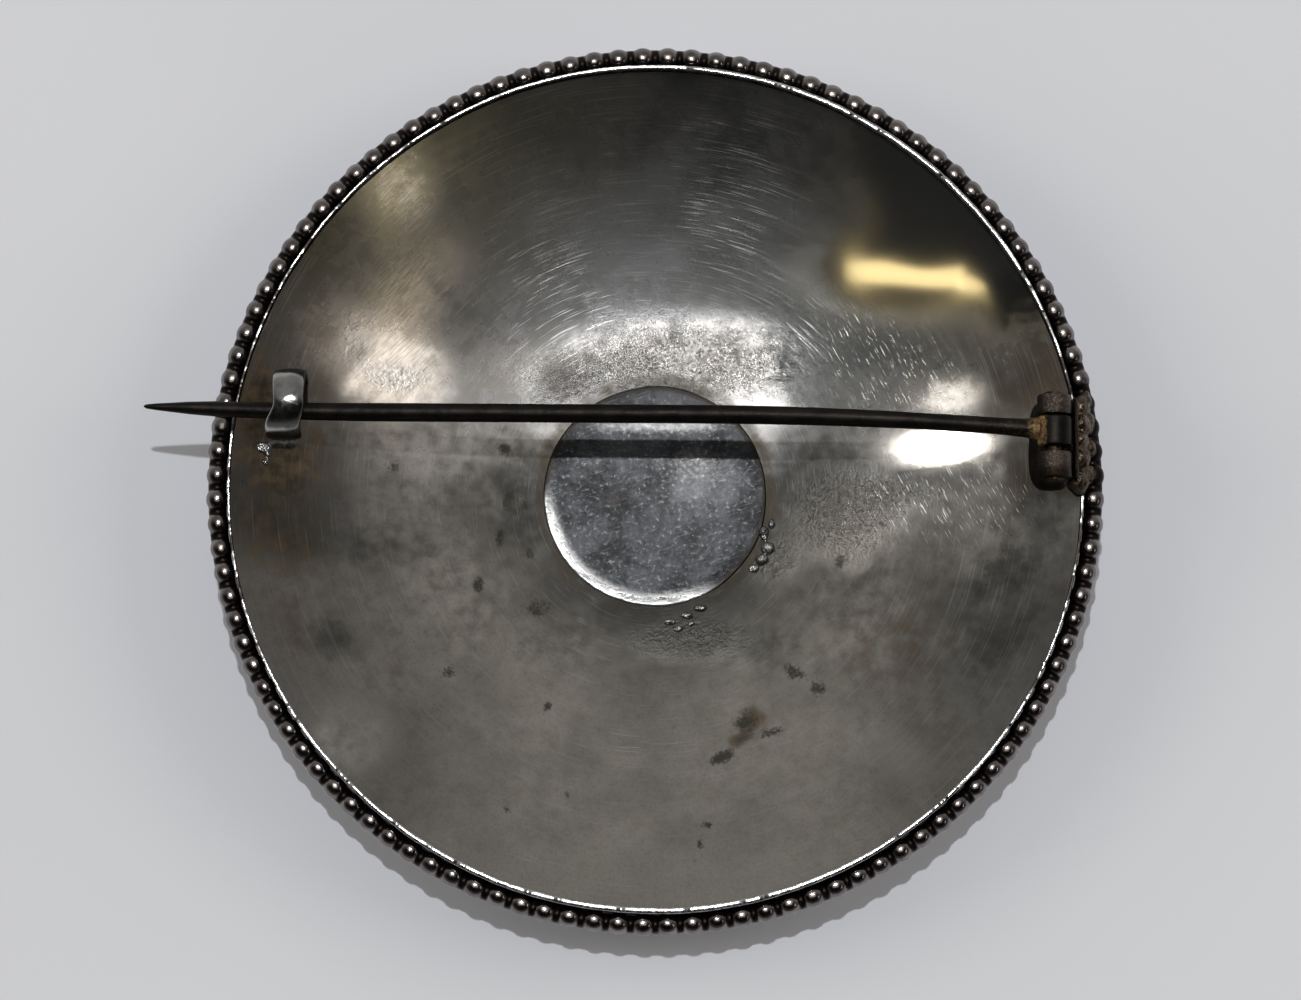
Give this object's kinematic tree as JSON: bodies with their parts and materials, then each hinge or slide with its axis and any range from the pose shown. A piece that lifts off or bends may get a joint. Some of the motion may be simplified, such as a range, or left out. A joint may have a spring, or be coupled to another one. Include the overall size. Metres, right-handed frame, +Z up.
{
  "type": "enamel brooch",
  "caption": "Round domed brooch with an enamelled front, beaded rim, hinged pin and hooked catch, lying face down.",
  "frame": {"origin": "on the surface that the brooch lies on, under the middle of its whole outline; the middle of the disc is 1.5 mm to the +X side, because the pin's point overhangs the rim", "axes": "+X along the pin from the catch to the hinge, +Y across the pin on the side away from the hook's mouth, +Z up, from the enamelled front towards the back with the pin"},
  "size_m": [0.0484, 0.0454, 0.0075],
  "materials": {
    "silver": "worn silver with grey and brown tarnish",
    "enamel": "glossy translucent enamel",
    "pin_steel": "dark steel with brown rust at the hinge"
  },
  "bodies": {
    "brooch": {"silver_back": "silver", "enamel_front": "enamel", "hinge_rivet": "pin_steel"},
    "pin": {"pin": "pin_steel"}
  },
  "joints": [
    {"name": "pin_hinge", "type": "hinge", "parent": "brooch", "child": "pin", "pos_m": [0.02155, 0.00221, 0.00643], "axis": [0, 1, 0], "range_deg": [0, 120]}
  ]
}
